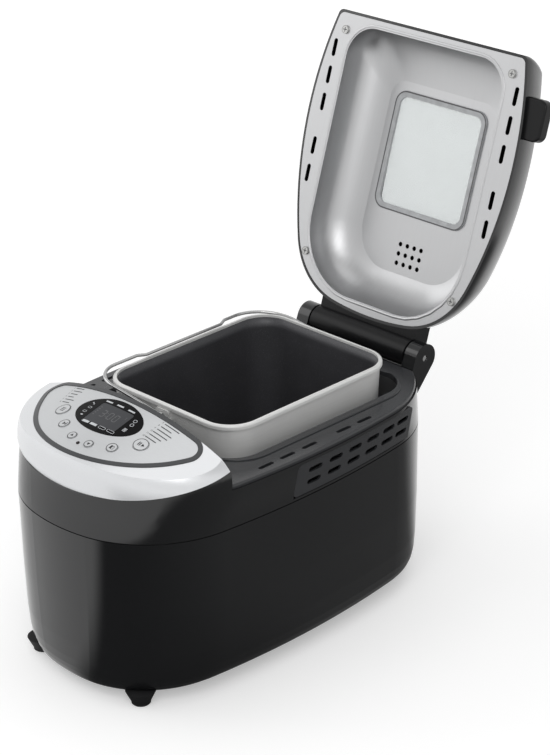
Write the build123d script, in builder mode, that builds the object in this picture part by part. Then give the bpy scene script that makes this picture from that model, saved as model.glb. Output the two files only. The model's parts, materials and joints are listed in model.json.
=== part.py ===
"""Bread machine with its lid open.

A long housing stands on four feet. Its front carries a crowned control panel, and behind that a deck
surrounds the oven with the bread pan. The lid turns on a barrel hinge at the rear. A motor in the
front bay turns the kneading paddle through a belt under the oven.

Millimetres. X runs across the machine, -Y is the control end and +Z is up.
"""
from build123d import *
import math
import os

# ---------------------------------------------------------------- driving dimensions
# Housing outline, seen from above
half_width = 118.5
widest_y = 0.0
side_radius = 886.0
nose_y = -192.6
nose_radius = 170.0
rear_y = 200.0
rear_radius = 230.0
front_corner = 99.0
rear_corner = 100.0
wall = 3.0
fit = 0.15

# Heights of the housing
bottom_z = 13.0
seam_z = 160.0
seam_groove = 1.0
deck_z = 204.0
deck_thickness = 4.0
flare_side = 7.8
flare_end = -8.4

# Control panel, a crowned face that falls towards the front
panel_rear_y = -100.5
panel_top_z = 245.0
panel_slope = 14.9
panel_crown = 327.0
trim_depth = 26.7
bezel_radius = 105.0
bezel_centre_y = -74.0
bezel_corner = 14.0
bezel_band = 4.0
plate_thickness = 4.0
display_length = 74.0
display_height = 42.0
display_y = -127.0
lcd_length = 39.0
lcd_height = 25.0
key_travel = 0.8
key_radii = {"large": 7.0, "medium": 5.2, "small": 4.4}
key_places = (
    ("start", "large", -49.0, -137.0),
    ("menu", "medium", -30.0, -151.5),
    ("up", "small", -9.5, -160.0),
    ("down", "small", 12.5, -161.0),
    ("colour", "medium", 33.0, -153.5),
    ("stop", "large", 50.0, -137.0),
)

# Oven and deck opening
oven_length = 226.0
oven_width = 187.0
oven_corner = 32.0
oven_y = 37.0
oven_floor_z = 62.0
sheet = 0.9
ridge_width = 4.0
ridge_height = 1.3
ridge_round = 0.8

# Bread pan and its handle
pan_end_gap = 12.0
pan_length = oven_length - 2 * pan_end_gap
pan_width = 164.0
pan_corner = 29.0
pan_base_length = 188.0
pan_base_width = 150.0
pan_bottom_z = 84.0
pan_rim_z = 228.5
pan_sheet = 1.5
rim_roll = 2.0
handle_wire = 1.5
handle_pivot_z = 220.0
handle_reach = 88.0
handle_gap = 5.5
handle_front_corner = 26.0
handle_rear_corner = 40.0

# Lid, drawn closed in its own plane and turned open about the hinge
hinge_y = 188.0
hinge_z = 209.7
hinge_radius = 13.5
hinge_half = 60.0
pin_radius = 3.0
lid_open = 108.55
lid_gap = 3.0
lid_half_width = 124.0
lid_side_radius = 354.0
lid_widest_y = -1.0
lid_front_y = -96.0
lid_rear_y = 169.0
lid_rear_radius = 306.0
lid_front_corner = 6.0
lid_rear_corner = 73.0
lid_lip = 2.5
lid_wall = 2.5
lid_height = 47.0
lid_slope = 2.0
lid_crown = 450.0
dome_depth = 40.0
outer_window_length = 130.0
outer_window_width = 126.0
outer_window_corner = 16.0
window_length = outer_window_length - 25.0
window_width = outer_window_width - 22.0
window_y = 18.5

# Drive train
shaft_radius = 4.0
running_gap = 0.05
motor_size = 74.0
motor_gap = 20.0
motor_y = oven_y - oven_length / 2 - motor_size / 2 - motor_gap
pulley_radius = 60.0
motor_pulley_radius = 8.0
pulley_z = 26.0
pulley_height = 12.0
belt_gap = 0.3
belt_thickness = 2.2
chassis_z = 44.0
chassis_sheet = 2.0

# Feet
foot_places = {"front": (65.0, -162.0), "rear": (72.0, 100.0)}
foot_radius = 8.5
foot_flare = 5.0

# ---------------------------------------------------------------- outlines and solids used more than once


def plan(side_inset, end_inset):
    """Housing outline from above, moved in at the sides and at the two ends."""
    across = side_radius - half_width + side_inset
    nose_centre = nose_y + end_inset + nose_radius
    with BuildSketch() as outline:
        with Locations((0, nose_centre)):
            Circle(nose_radius)
        with Locations((0, nose_centre + side_radius)):
            Rectangle(2 * nose_radius, 2 * side_radius)
        with Locations(Location((-across, widest_y, 0), (0, 0, 180))):
            Circle(side_radius, mode=Mode.INTERSECT)
        with Locations((across, widest_y)):
            Circle(side_radius, mode=Mode.INTERSECT)
        with Locations((0, rear_y - end_inset - rear_radius)):
            Circle(rear_radius, mode=Mode.INTERSECT)
        share = 1 - side_inset / half_width
        fillet(outline.vertices().group_by(Axis.Y)[0], front_corner * share)
        fillet(outline.vertices().group_by(Axis.Y)[-1], rear_corner * share)
    return outline.sketch


def housing_stack(sections, inset=0.0, ruled=False):
    """Solid through the housing outlines at (height, side inset, end inset)."""
    with BuildPart() as stack:
        for height, side, end in sections:
            with BuildSketch(Plane.XY.offset(height)):
                add(plan(side + inset, end + inset))
        loft(ruled=ruled)
    return stack.part


def crown(place, radius, depth):
    """Long barrel whose top line lies along the given place, less a depth."""
    with BuildPart() as barrel:
        with BuildSketch(Plane(place)):
            with Locations((0, -radius)):
                Circle(radius - depth)
        extrude(amount=500, both=True)
    return barrel.part


def slab(low_x, high_x, low_y, high_y, low_z, high_z):
    """Plain block between its six faces."""
    with BuildPart() as block:
        with BuildSketch(Plane.XY.offset(low_z)):
            with Locations(((low_x + high_x) / 2, (low_y + high_y) / 2)):
                Rectangle(high_x - low_x, high_y - low_y)
        extrude(amount=high_z - low_z)
    return block.part


def rounded_box(width, length, corner, centre_y, low_z, high_z):
    """Upright rounded block about the middle line."""
    with BuildPart() as block:
        with BuildSketch(Plane.XY.offset(low_z)):
            with Locations((0, centre_y)):
                RectangleRounded(width, length, corner)
        extrude(amount=high_z - low_z)
    return block.part


def disc(x, y, radius, low_z, high_z):
    """Upright cylinder."""
    with BuildPart() as post:
        with BuildSketch(Plane.XY.offset(low_z)):
            with Locations((x, y)):
                Circle(radius)
        extrude(amount=high_z - low_z)
    return post.part


panel_place = Location((0, panel_rear_y, panel_top_z), (90 + panel_slope, 0, 0))
slope = math.radians(panel_slope)
panel_face = Plane(
    origin=(0, panel_rear_y, panel_top_z), x_dir=(1, 0, 0), z_dir=(0, -math.sin(slope), math.cos(slope))
)


def along_panel(y):
    """Distance up the sloping panel from its rear edge, for a place seen from above."""
    return (y - panel_rear_y) / math.cos(slope)


def panel_slice(top, bottom):
    """Layer of the crowned panel between two depths below its face."""
    with BuildPart() as layer:
        add(crown(panel_place, panel_crown, top))
        if bottom is not None:
            add(crown(panel_place, panel_crown, bottom), mode=Mode.SUBTRACT)
    return layer.part


def under_panel(depth):
    """Everything below the plane that lies a depth under the panel's crest."""
    with BuildPart() as block:
        with BuildSketch(panel_face.offset(-depth)):
            Rectangle(900, 900)
        extrude(amount=-400)
    return block.part


# ---------------------------------------------------------------- lower housing
floor_top_z = bottom_z + wall
tub_sections = (
    (bottom_z, 17.0, 7.5),
    (floor_top_z, 12.6, 5.5),
    (floor_top_z + 4.0, 9.0, 4.0),
    (floor_top_z + 9.0, 6.4, 2.8),
    (floor_top_z + 17.0, 4.3, 1.9),
    (floor_top_z + 34.0, 2.5, 1.1),
    (floor_top_z + 74.0, 0.8, 0.4),
    (seam_z, 0.0, 0.0),
)
tongue_z = seam_z + 4.0
tongue_lean = 1.0
gland_x = -20.0
gland_z = 46.0
gland_radius = 7.0

tub_outer = housing_stack(tub_sections, ruled=True)

with BuildPart() as lower_housing:
    add(tub_outer)
    add(housing_stack(tub_sections[1:], wall, ruled=True), mode=Mode.SUBTRACT)
    with BuildSketch(Plane.XY.offset(bottom_z)):
        add(plan(36.0, 30.0))
    extrude(amount=wall, mode=Mode.SUBTRACT)
    with BuildSketch(Plane.XY.offset(seam_z - 8.0)):
        add(plan(wall - 0.5, wall - 0.5))
        add(plan(wall + 2.2, wall + 2.2 + tongue_lean), mode=Mode.SUBTRACT)
    extrude(amount=8.0)
    with BuildSketch(Plane.XY.offset(seam_z)):
        add(plan(wall + 2 * fit, wall + 2 * fit + tongue_lean))
        add(plan(wall + 2.2, wall + 2.2 + tongue_lean), mode=Mode.SUBTRACT)
    extrude(amount=tongue_z - seam_z)
    with BuildSketch(Plane.XZ.offset(-rear_y - 10)):
        with Locations((gland_x, gland_z)):
            Circle(gland_radius + fit)
    extrude(amount=60, mode=Mode.SUBTRACT)

with BuildPart() as base_plate:
    with BuildSketch(Plane.XY.offset(floor_top_z)):
        add(plan(30.0, 24.0))
    extrude(amount=2.5)
base_top_z = floor_top_z + 2.5

with BuildPart() as cable_gland:
    with BuildSketch(Plane.XZ.offset(-rear_y + 9)):
        with Locations((gland_x, gland_z)):
            Circle(gland_radius + 2.5)
    extrude(amount=-10)
    add(tub_outer, mode=Mode.SUBTRACT)
    with BuildSketch(Plane.XZ.offset(-rear_y + 26)):
        with Locations((gland_x, gland_z)):
            Circle(gland_radius)
    extrude(amount=-27)
    with BuildSketch(Plane.XZ.offset(-rear_y + 30)):
        with Locations((gland_x, gland_z)):
            Circle(3.6)
    extrude(amount=-40, mode=Mode.SUBTRACT)

# ---------------------------------------------------------------- feet
feet = {}
for side_name, side in (("left", -1), ("right", 1)):
    for end_name, (foot_x, foot_y) in foot_places.items():
        with BuildPart() as foot:
            with BuildSketch(Plane.XZ.offset(-foot_y)):
                with BuildLine():
                    Polyline(
                        (side * foot_x, 0),
                        (side * foot_x + foot_radius - 1, 0),
                        (side * foot_x + foot_radius, 1.0),
                        (side * foot_x + foot_radius, 2.5),
                        (side * foot_x + foot_radius + foot_flare, bottom_z),
                        (side * foot_x, bottom_z),
                        close=True,
                    )
                make_face()
            revolve(axis=Axis((side * foot_x, foot_y, 0), (0, 0, 1)))
        feet[f"foot_{end_name}_{side_name}"] = foot.part

# ---------------------------------------------------------------- upper housing with the hinge collar
upper_sections = (
    (seam_z + seam_groove, 0.0, 0.0),
    (181.5, -flare_side / 2, -flare_end / 2),
    (202.0, -flare_side, -flare_end),
    (218.0, 0.8 - flare_side, 1.1 - flare_end),
)
ring_top_z = deck_z - deck_thickness
step_y = panel_rear_y + 1.0
upper_outer = housing_stack(upper_sections) & under_panel(trim_depth)
upper_inner = housing_stack(upper_sections, wall) & under_panel(trim_depth + wall)
step_wall = slab(-200, 200, step_y - wall, 300, ring_top_z, 300)
ear_length = 14.0
board_posts = ((-50.0, -158.0), (50.0, -158.0), (-50.0, -116.0), (50.0, -116.0))
board_z = 186.0

# Louvred inserts in both flanks
grille_low_z = 163.5
grille_high_z = 197.0
grille_front_y = -27.0
grille_rear_y = 127.0
grille_recess = 0.7
grille_corner = 5.0
grille_front_corner = 22.0
grille_slots = (-4.0, 21.5, 46.5, 70.5, 93.0, 113.5)
grille_rows = (174.5, 187.0)


def grille_outline(margin):
    """Outline of a flank insert with its large upper front corner, across the whole machine."""
    with BuildPart() as bar:
        with BuildSketch(Plane.YZ.offset(-200)) as outline:
            with Locations(((grille_front_y + grille_rear_y) / 2, (grille_low_z + grille_high_z) / 2)):
                Rectangle(
                    grille_rear_y - grille_front_y + 2 * margin, grille_high_z - grille_low_z + 2 * margin
                )
            corners = outline.vertices().sort_by(Axis.Z)
            fillet([*corners[:2], corners[2:].sort_by(Axis.Y)[-1]], grille_corner + margin)
            top = outline.vertices().group_by(Axis.Z)[-1]
            fillet(top.sort_by(Axis.Y)[0], grille_front_corner + margin)
        extrude(amount=400)
    return bar.part


with BuildPart() as hinge_collar:
    with BuildSketch(Plane.YZ.offset(-hinge_half - 1.0 - ear_length)):
        with Locations((hinge_y, hinge_z)):
            Circle(hinge_radius)
        with Locations((hinge_y - 16.0, seam_z + 24.0)):
            Circle(8.0)
        make_hull()
    extrude(amount=2 * (hinge_half + 1.0 + ear_length))
    add(slab(-hinge_half - 1, hinge_half + 1, 100, 300, ring_top_z, 300), mode=Mode.SUBTRACT)

with BuildPart() as upper_housing:
    add(upper_outer)
    add(upper_inner - step_wall, mode=Mode.SUBTRACT)
    add(slab(-200, 200, step_y, 300, ring_top_z, 300), mode=Mode.SUBTRACT)
    with BuildSketch(Plane.XY.offset(seam_z)):
        add(plan(1.2, 1.2))
        add(plan(wall - 0.5, wall - 0.5), mode=Mode.SUBTRACT)
    extrude(amount=seam_groove + 0.5)
    add(hinge_collar.part)
    with BuildSketch(Plane.YZ.offset(-hinge_half - 1.0)):
        with Locations((hinge_y, hinge_z)):
            Circle(hinge_radius + 1.0)
    extrude(amount=2 * (hinge_half + 1.0), mode=Mode.SUBTRACT)
    with BuildSketch(Plane.YZ.offset(-100)):
        with Locations((hinge_y, hinge_z)):
            Circle(pin_radius + running_gap)
    extrude(amount=200, mode=Mode.SUBTRACT)
    add(grille_outline(fit), mode=Mode.SUBTRACT)
    with BuildPart(mode=Mode.ADD):
        with BuildSketch(Plane.XY.offset(board_z + 1.6)):
            with Locations(*board_posts):
                Circle(3.0)
        extrude(amount=40)
        add(under_panel(trim_depth + wall - 0.5), mode=Mode.INTERSECT)


def flank_radius(z):
    """Radius of the flared flank at a height, about the middle of its arc."""
    return side_radius + flare_side * (z - seam_z - seam_groove) / (202.0 - seam_z - seam_groove)


def vent_grille(side):
    """Louvred insert in one flank, flared like the housing's side and set just below its face."""
    across = -side * (side_radius - half_width)
    low_z = grille_low_z - 5
    high_z = grille_high_z + 5
    with BuildPart() as insert:
        with BuildSketch(Plane.XZ.offset(-widest_y)):
            with BuildLine():
                Polyline(
                    (across - side * (flank_radius(low_z) - grille_recess), low_z),
                    (across - side * (flank_radius(high_z) - grille_recess), high_z),
                    (across - side * (flank_radius(high_z) - wall), high_z),
                    (across - side * (flank_radius(low_z) - wall), low_z),
                    close=True,
                )
            make_face()
        revolve(axis=Axis((across, widest_y, 0), (0, 0, 1)))
        add(grille_outline(0.0), mode=Mode.INTERSECT)
        with BuildSketch(Plane.YZ.offset(side * (half_width - 40))):
            for row_z in grille_rows:
                for slot_y in grille_slots:
                    with Locations((slot_y, row_z)):
                        SlotOverall(16.5, 5.0)
        extrude(amount=side * 60, mode=Mode.SUBTRACT)
    return insert.part


vent_grille_left = vent_grille(-1)
vent_grille_right = vent_grille(1)

with BuildPart() as hinge_pin:
    with BuildSketch(Plane.YZ.offset(-hinge_half - ear_length)):
        with Locations((hinge_y, hinge_z)):
            Circle(pin_radius)
    extrude(amount=2 * (hinge_half + ear_length))

# ---------------------------------------------------------------- control panel
def bezel_plan(inset):
    """Round front and straight rear of the bezel, with rounded ends."""
    with BuildSketch() as outline:
        with Locations((0, bezel_centre_y)):
            Circle(bezel_radius - inset)
        with Locations((0, panel_rear_y - inset - 100)):
            Rectangle(400, 200, mode=Mode.INTERSECT)
        fillet(outline.vertices().group_by(Axis.Y)[-1], bezel_corner - inset)
    return outline.sketch


def upright(outline, low_z, high_z):
    """Upright prism over an outline."""
    with BuildPart() as prism:
        with BuildSketch(Plane.XY.offset(low_z)):
            add(outline)
        extrude(amount=high_z - low_z)
    return prism.part


trim_sections = (
    (180.0, 0.4 - flare_side, 7.2),
    (218.0, 1.3 - flare_side, 9.5),
    (229.0, 9.0, 13.5),
    (245.0, 34.0, 38.0),
)
with BuildPart() as panel_trim:
    add(housing_stack(trim_sections))
    add(panel_slice(0.0, None), mode=Mode.INTERSECT)
    add(under_panel(trim_depth), mode=Mode.SUBTRACT)
    add(slab(-200, 200, panel_rear_y, 300, 0, 400), mode=Mode.SUBTRACT)
    add(upright(bezel_plan(-fit), 0, 400), mode=Mode.SUBTRACT)

with BuildPart() as panel_bezel:
    add(upright(bezel_plan(0.0), 0, 400))
    add(panel_slice(-0.6, None), mode=Mode.INTERSECT)
    add(under_panel(trim_depth), mode=Mode.SUBTRACT)
    add(
        upright(bezel_plan(bezel_band), 0, 400) - panel_slice(plate_thickness, None),
        mode=Mode.SUBTRACT,
    )

with BuildPart() as control_panel:
    add(upright(bezel_plan(bezel_band + fit), 0, 400))
    add(panel_slice(0.0, plate_thickness), mode=Mode.INTERSECT)
    with BuildSketch(panel_face.offset(-60)):
        with Locations((0, along_panel(display_y))):
            Ellipse(display_length / 2 + fit, display_height / 2 + fit)
        with Locations((3.0, along_panel(-164.5))):
            Circle(1.6 + fit)
        for key_name, key_size, key_x, key_y in key_places:
            with Locations((key_x, along_panel(key_y))):
                Circle(key_radii[key_size] + 0.25)
    extrude(amount=120, mode=Mode.SUBTRACT)

with BuildPart() as display_window:
    with BuildSketch(panel_face.offset(-60)):
        with Locations((0, along_panel(display_y))):
            Ellipse(display_length / 2, display_height / 2)
    extrude(amount=120)
    add(panel_slice(-0.2, plate_thickness), mode=Mode.INTERSECT)
    with BuildPart(mode=Mode.SUBTRACT):
        with BuildSketch(panel_face.offset(-60)):
            with Locations((0, along_panel(display_y))):
                RectangleRounded(lcd_length + 2 * fit, lcd_height + 2 * fit, 2.5)
        extrude(amount=120)
        add(panel_slice(2.0, None), mode=Mode.SUBTRACT)

with BuildPart() as lcd_screen:
    with BuildSketch(panel_face.offset(-60)):
        with Locations((0, along_panel(display_y))):
            RectangleRounded(lcd_length, lcd_height, 2.4)
    extrude(amount=120)
    add(panel_slice(0.0, 2.0), mode=Mode.INTERSECT)

with BuildPart() as status_led:
    with BuildSketch(panel_face.offset(-60)):
        with Locations((3.0, along_panel(-164.5))):
            Circle(1.6)
    extrude(amount=120)
    add(panel_slice(-0.4, plate_thickness), mode=Mode.INTERSECT)

keys = {}
for key_name, key_size, key_x, key_y in key_places:
    with BuildPart() as key:
        with BuildSketch(panel_face.offset(-60)):
            with Locations((key_x, along_panel(key_y))):
                Circle(key_radii[key_size])
        extrude(amount=120)
        add(panel_slice(-0.5, plate_thickness - key_travel - 0.2), mode=Mode.INTERSECT)
    keys[f"key_{key_name}"] = key.part

with BuildPart() as control_board:
    with BuildSketch(Plane.XY.offset(board_z)):
        with Locations((0, -137.0)):
            Rectangle(116.0, 52.0)
    extrude(amount=1.6)
    with BuildSketch(Plane.XY.offset(board_z + 1.6)):
        with Locations((0, -137.0)):
            Rectangle(44.0, 28.0)
    extrude(amount=6.0)

# ---------------------------------------------------------------- deck and oven
deck_slots = (-54.0, -28.5, -2.0, 40.0, 66.0)
with BuildPart() as deck:
    with BuildSketch(Plane.XY.offset(ring_top_z)):
        add(plan(1.6 - flare_side, 1.0 - flare_end))
        with Locations((0, step_y - 150)):
            Rectangle(400, 300, mode=Mode.SUBTRACT)
    extrude(amount=deck_thickness)
    fillet(deck.faces().sort_by(Axis.Z)[-1].outer_wire().edges().filter_by(GeomType.LINE, reverse=True), 1.8)
    with BuildSketch(Plane.XY.offset(deck_z)):
        with Locations((0, oven_y)):
            RectangleRounded(
                oven_width + 2 * ridge_width + 6, oven_length + 2 * ridge_width - 8, oven_corner + ridge_width
            )
    extrude(amount=ridge_height)
    fillet(deck.faces().sort_by(Axis.Z)[-1].outer_wire().edges(), ridge_round)
    add(rounded_box(oven_width, oven_length, oven_corner, oven_y, 0, 300), mode=Mode.SUBTRACT)
    add(slab(-hinge_half - ear_length - 1.5, hinge_half + ear_length + 1.5, hinge_y - 19, 300, 0, 300),
        mode=Mode.SUBTRACT)
    with BuildSketch(Plane.XY.offset(ring_top_z)):
        for slot_y in deck_slots:
            with Locations((-113.5, slot_y), (113.5, slot_y)):
                SlotOverall(17.0, 4.0, rotation=90)
    extrude(amount=deck_thickness, mode=Mode.SUBTRACT)

element_z = 75.0
element_radius = 3.25
element_inset = 7.5
sensor_x = 45.0
sensor_z = 130.0
sensor_radius = 3.0
element_half_x = oven_width / 2 - element_inset
element_half_y = oven_length / 2 - element_inset
terminal_x = 20.0
with BuildPart() as oven_liner:
    add(rounded_box(oven_width + 2 * sheet, oven_length + 2 * sheet, oven_corner + sheet, oven_y,
                    oven_floor_z - sheet, ring_top_z))
    add(rounded_box(oven_width + 16, oven_length + 12, oven_corner + 8, oven_y, ring_top_z - sheet,
                    ring_top_z))
    add(rounded_box(oven_width, oven_length, oven_corner, oven_y, oven_floor_z, 300), mode=Mode.SUBTRACT)
    add(disc(0, oven_y, 15.0, 0, 100), mode=Mode.SUBTRACT)
    with BuildSketch(Plane.XZ.offset(-oven_y)):
        with Locations((-terminal_x, element_z), (terminal_x, element_z)):
            Circle(element_radius + 0.3)
        with Locations((sensor_x, sensor_z)):
            Circle(sensor_radius + 0.2)
    extrude(amount=200, mode=Mode.SUBTRACT)

with BuildPart() as heating_element:
    with BuildLine() as element_path:
        FilletPolyline(
            (-terminal_x, oven_y - element_half_y - 22, element_z),
            (-terminal_x, oven_y - element_half_y, element_z),
            (-element_half_x, oven_y - element_half_y, element_z),
            (-element_half_x, oven_y + element_half_y, element_z),
            (element_half_x, oven_y + element_half_y, element_z),
            (element_half_x, oven_y - element_half_y, element_z),
            (terminal_x, oven_y - element_half_y, element_z),
            (terminal_x, oven_y - element_half_y - 22, element_z),
            radius=[9, 24, 24, 24, 24, 9],
        )
    with BuildSketch(Plane(element_path.line @ 0, z_dir=element_path.line % 0)):
        Circle(element_radius)
    sweep()

element_stands = {}
for side_name, side in (("left", -1), ("right", 1)):
    with BuildPart() as stand:
        with BuildSketch(Plane.XZ.offset(-oven_y - 5)):
            with BuildLine():
                Polyline(
                    (side * (element_half_x - 6), oven_floor_z),
                    (side * (element_half_x + 6), oven_floor_z),
                    (side * (element_half_x + 5), element_z),
                    (side * (element_half_x - 5), element_z),
                    close=True,
                )
            make_face()
            with Locations((side * element_half_x, element_z)):
                Circle(element_radius + 0.1, mode=Mode.SUBTRACT)
        extrude(amount=-10)
    element_stands[f"element_stand_{side_name}"] = stand.part

with BuildPart() as temperature_sensor:
    with BuildSketch(Plane.XZ.offset(-oven_y + oven_length / 2 - pan_end_gap + 2)):
        with Locations((sensor_x, sensor_z)):
            Circle(sensor_radius)
    extrude(amount=22)

# ---------------------------------------------------------------- pan seat and bread pan
with BuildPart() as pan_seat:
    with BuildSketch(Plane.XY.offset(oven_floor_z)):
        with Locations((0, oven_y)):
            Circle(60.0)
            Circle(20.0, mode=Mode.SUBTRACT)
    extrude(amount=1.5)
    with BuildSketch(Plane.XY.offset(oven_floor_z + 1.5)):
        with Locations((0, oven_y)):
            Circle(52.0)
            Circle(50.0, mode=Mode.SUBTRACT)
    extrude(amount=12.0)


def pan_body(inset, low_z, high_z):
    """Tapering rounded block of the pan between two heights."""
    with BuildPart() as block:
        with BuildSketch(Plane.XY.offset(low_z)):
            with Locations((0, oven_y)):
                RectangleRounded(pan_base_width - 2 * inset, pan_base_length - 2 * inset,
                                 pan_corner - 5 - inset)
        with BuildSketch(Plane.XY.offset(high_z)):
            with Locations((0, oven_y)):
                RectangleRounded(pan_width - 2 * inset, pan_length - 2 * inset, pan_corner - inset)
        loft()
    return block.part


with BuildPart() as bread_pan:
    add(pan_body(0.0, pan_bottom_z, pan_rim_z))
    fillet(bread_pan.edges().group_by(Axis.Z)[0], 7.0)
    with BuildSketch(Plane.XY.offset(pan_rim_z - 2 * rim_roll)):
        with Locations((0, oven_y)):
            RectangleRounded(pan_width + 2 * rim_roll, pan_length + 2 * rim_roll, pan_corner + rim_roll)
    extrude(amount=2 * rim_roll)
    fillet(bread_pan.edges().group_by(Axis.Z)[-1], rim_roll - 0.2)
    with BuildPart(mode=Mode.SUBTRACT) as hollow:
        add(pan_body(pan_sheet, pan_bottom_z + pan_sheet, pan_rim_z))
        fillet(hollow.edges().group_by(Axis.Z)[0], 5.5)
    add(disc(0, oven_y, 7.0 + fit, 0, 100), mode=Mode.SUBTRACT)

with BuildPart() as pan_ears:
    for end in (-1, 1):
        wall_y = oven_y + end * pan_length / 2
        with BuildSketch(Plane.XZ.offset(-wall_y + end * 5)):
            with Locations((0, handle_pivot_z - 1.5)):
                RectangleRounded(16.0, 11.0, 2.5)
        extrude(amount=-end * (handle_gap - handle_wire - 0.8 + 5))
    add(pan_body(0.0, pan_bottom_z, pan_rim_z), mode=Mode.SUBTRACT)
    with BuildSketch(Plane.XZ.offset(-oven_y)):
        with Locations((0, handle_pivot_z)):
            Circle(handle_wire + running_gap)
    extrude(amount=200, both=True, mode=Mode.SUBTRACT)

with BuildPart() as pan_base:
    with BuildSketch(Plane.XY.offset(oven_floor_z + 1.8)):
        with Locations((0, oven_y)):
            Circle(46.0)
            Circle(44.0, mode=Mode.SUBTRACT)
    extrude(amount=pan_bottom_z - oven_floor_z - 1.8)

with BuildPart() as pan_bush:
    add(disc(0, oven_y, 12.0, pan_bottom_z - 3, pan_bottom_z))
    add(disc(0, oven_y, 7.0, pan_bottom_z, pan_bottom_z + pan_sheet))
    add(disc(0, oven_y, 9.0, pan_bottom_z + pan_sheet, pan_bottom_z + 9))
    add(disc(0, oven_y, shaft_radius + running_gap, 0, 200), mode=Mode.SUBTRACT)

handle_rise = math.asin((pan_rim_z + handle_wire + 0.4 - handle_pivot_z) / (handle_reach - 4))
handle_plane = Plane(
    origin=(0, oven_y, handle_pivot_z),
    x_dir=(-math.cos(handle_rise), 0, math.sin(handle_rise)),
    z_dir=(-math.sin(handle_rise), 0, -math.cos(handle_rise)),
)
handle_half = pan_length / 2 + handle_gap
with BuildPart() as pan_handle:
    with BuildLine(handle_plane) as handle_path:
        FilletPolyline(
            (0, -handle_half + 4.3),
            (0, -handle_half),
            (handle_reach, -handle_half),
            (handle_reach, -54),
            (handle_reach - 4, -46),
            (handle_reach - 4, 46),
            (handle_reach, 54),
            (handle_reach, handle_half),
            (0, handle_half),
            (0, handle_half - 4.3),
            radius=[2.6, handle_front_corner, 5, 5, 5, 5, handle_rear_corner, 2.6],
        )
    with BuildSketch(Plane(handle_path.line @ 0, z_dir=handle_path.line % 0)):
        Circle(handle_wire)
    sweep()

# ---------------------------------------------------------------- kneading drive
paddle_base_z = pan_bottom_z + 10.0
with BuildPart() as paddle_shaft:
    add(disc(0, oven_y, shaft_radius, pan_bottom_z - 14, paddle_base_z + 18))
    with BuildSketch(Plane.XY.offset(pan_bottom_z - 14)):
        with Locations((0, oven_y)):
            SlotOverall(30.0, 8.5, rotation=90)
    extrude(amount=4.0)

with BuildPart() as kneading_paddle:
    with BuildSketch(Plane.XY.offset(paddle_base_z)):
        with Locations((0, oven_y)):
            Circle(9.0)
    extrude(amount=22.0, taper=4)
    with BuildSketch(Plane.XZ.offset(-oven_y - 2.5)):
        with BuildLine():
            Line((0, paddle_base_z), (44, paddle_base_z))
            Line((44, paddle_base_z), (46, paddle_base_z + 12))
            ThreePointArc((46, paddle_base_z + 12), (22, paddle_base_z + 22), (0, paddle_base_z + 20))
            Line((0, paddle_base_z + 20), (0, paddle_base_z))
        make_face()
    extrude(amount=-5.0)
    add(disc(0, oven_y, shaft_radius + running_gap, 0, paddle_base_z + 18.2), mode=Mode.SUBTRACT)

driver_z = oven_floor_z + 3.0
with BuildPart() as drive_shaft:
    add(disc(0, oven_y, shaft_radius, pulley_z - 3, driver_z + 3))

with BuildPart() as driver:
    add(disc(0, oven_y, 17.0, driver_z, driver_z + 3))
    with BuildSketch(Plane.XY.offset(driver_z + 3)):
        with Locations((-12, oven_y), (12, oven_y)):
            RectangleRounded(7.0, 9.0, 1.5)
    extrude(amount=6.0)
    add(disc(0, oven_y, shaft_radius + 0.03, 0, driver_z + 3), mode=Mode.SUBTRACT)

with BuildPart() as drive_pulley:
    add(disc(0, oven_y, pulley_radius, pulley_z, pulley_z + pulley_height))
    for face_z in (pulley_z, pulley_z + pulley_height - 4):
        add(disc(0, oven_y, pulley_radius - 6, face_z, face_z + 4), mode=Mode.SUBTRACT)
    add(disc(0, oven_y, 10.0, pulley_z, pulley_z + pulley_height))
    with BuildSketch(Plane.XY.offset(pulley_z)):
        with Locations((0, oven_y)):
            with PolarLocations(32.0, 6):
                Circle(10.0)
    extrude(amount=pulley_height, mode=Mode.SUBTRACT)
    add(disc(0, oven_y, shaft_radius + 0.03, 0, 100), mode=Mode.SUBTRACT)

with BuildPart() as motor_pulley:
    add(disc(0, motor_y, motor_pulley_radius, pulley_z, pulley_z + pulley_height))
    add(disc(0, motor_y, 3.0, pulley_z - 2, chassis_z + 18))

with BuildPart() as drive_belt:
    for grow, join in ((belt_gap + belt_thickness, Mode.ADD), (belt_gap, Mode.SUBTRACT)):
        with BuildSketch(Plane.XY.offset(pulley_z + 1)):
            with Locations((0, oven_y)):
                Circle(pulley_radius + grow)
            with Locations((0, motor_y)):
                Circle(motor_pulley_radius + grow)
            make_hull()
        extrude(amount=pulley_height - 2, mode=join)

chassis_top_z = chassis_z + chassis_sheet
with BuildPart() as chassis:
    with BuildSketch(Plane.XY.offset(chassis_z)):
        with Locations((0, -28.0)):
            RectangleRounded(124.0, 280.0, 24.0)
        with Locations((0, oven_y)):
            Circle(14.0 + fit, mode=Mode.SUBTRACT)
        with Locations((0, motor_y)):
            Circle(8.0, mode=Mode.SUBTRACT)
    extrude(amount=chassis_sheet)
    for leg_x, leg_y in ((-42, -150), (42, -150), (-50, 101), (50, 101)):
        add(disc(leg_x, leg_y, 5.0, base_top_z, chassis_z))
    for post_x, post_y in ((-50, -20), (50, -20), (-50, 92), (50, 92)):
        add(disc(post_x, post_y, 5.0, chassis_top_z, oven_floor_z - sheet))

with BuildPart() as bearing_housing:
    add(disc(0, oven_y, 14.0, chassis_z - 4, oven_floor_z + 1.5))
    add(disc(0, oven_y, 22.0, chassis_top_z, chassis_top_z + 3))
    add(disc(0, oven_y, shaft_radius + running_gap, 0, 200), mode=Mode.SUBTRACT)

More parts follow.
